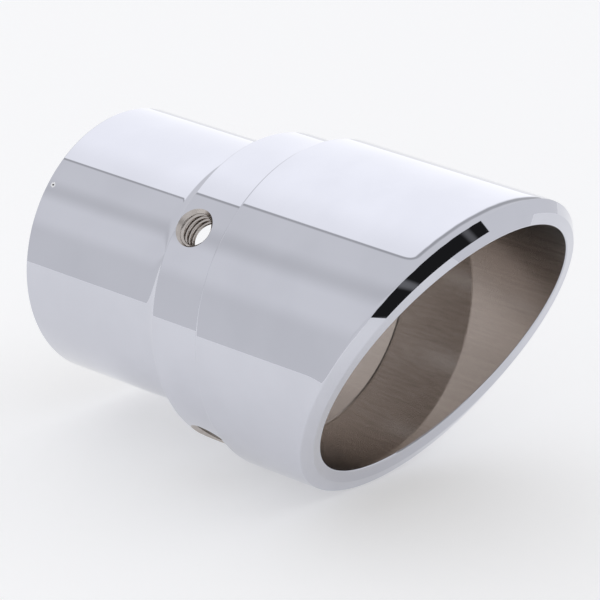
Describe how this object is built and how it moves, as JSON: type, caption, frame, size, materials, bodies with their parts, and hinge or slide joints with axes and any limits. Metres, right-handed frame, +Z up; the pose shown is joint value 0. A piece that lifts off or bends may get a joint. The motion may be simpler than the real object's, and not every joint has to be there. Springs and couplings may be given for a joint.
{
  "type": "muffler end cap",
  "caption": "Slash-cut chrome muffler end cap: a thick stepped tube with a bevelled slanted mouth, flared collar and tapped set-screw holes for clamping on an outlet pipe.",
  "frame": {"origin": "centre of the inlet bore at the inlet's end face", "axes": "+X along the bore axis from inlet to outlet, +Z up towards the long side of the slash cut"},
  "size_m": [0.1099, 0.07, 0.07],
  "materials": {
    "chrome": "polished chrome plate outside; satin nickel inside the bore and the tapped holes"
  },
  "bodies": {
    "root": {"end_cap": "chrome"}
  },
  "joints": []
}
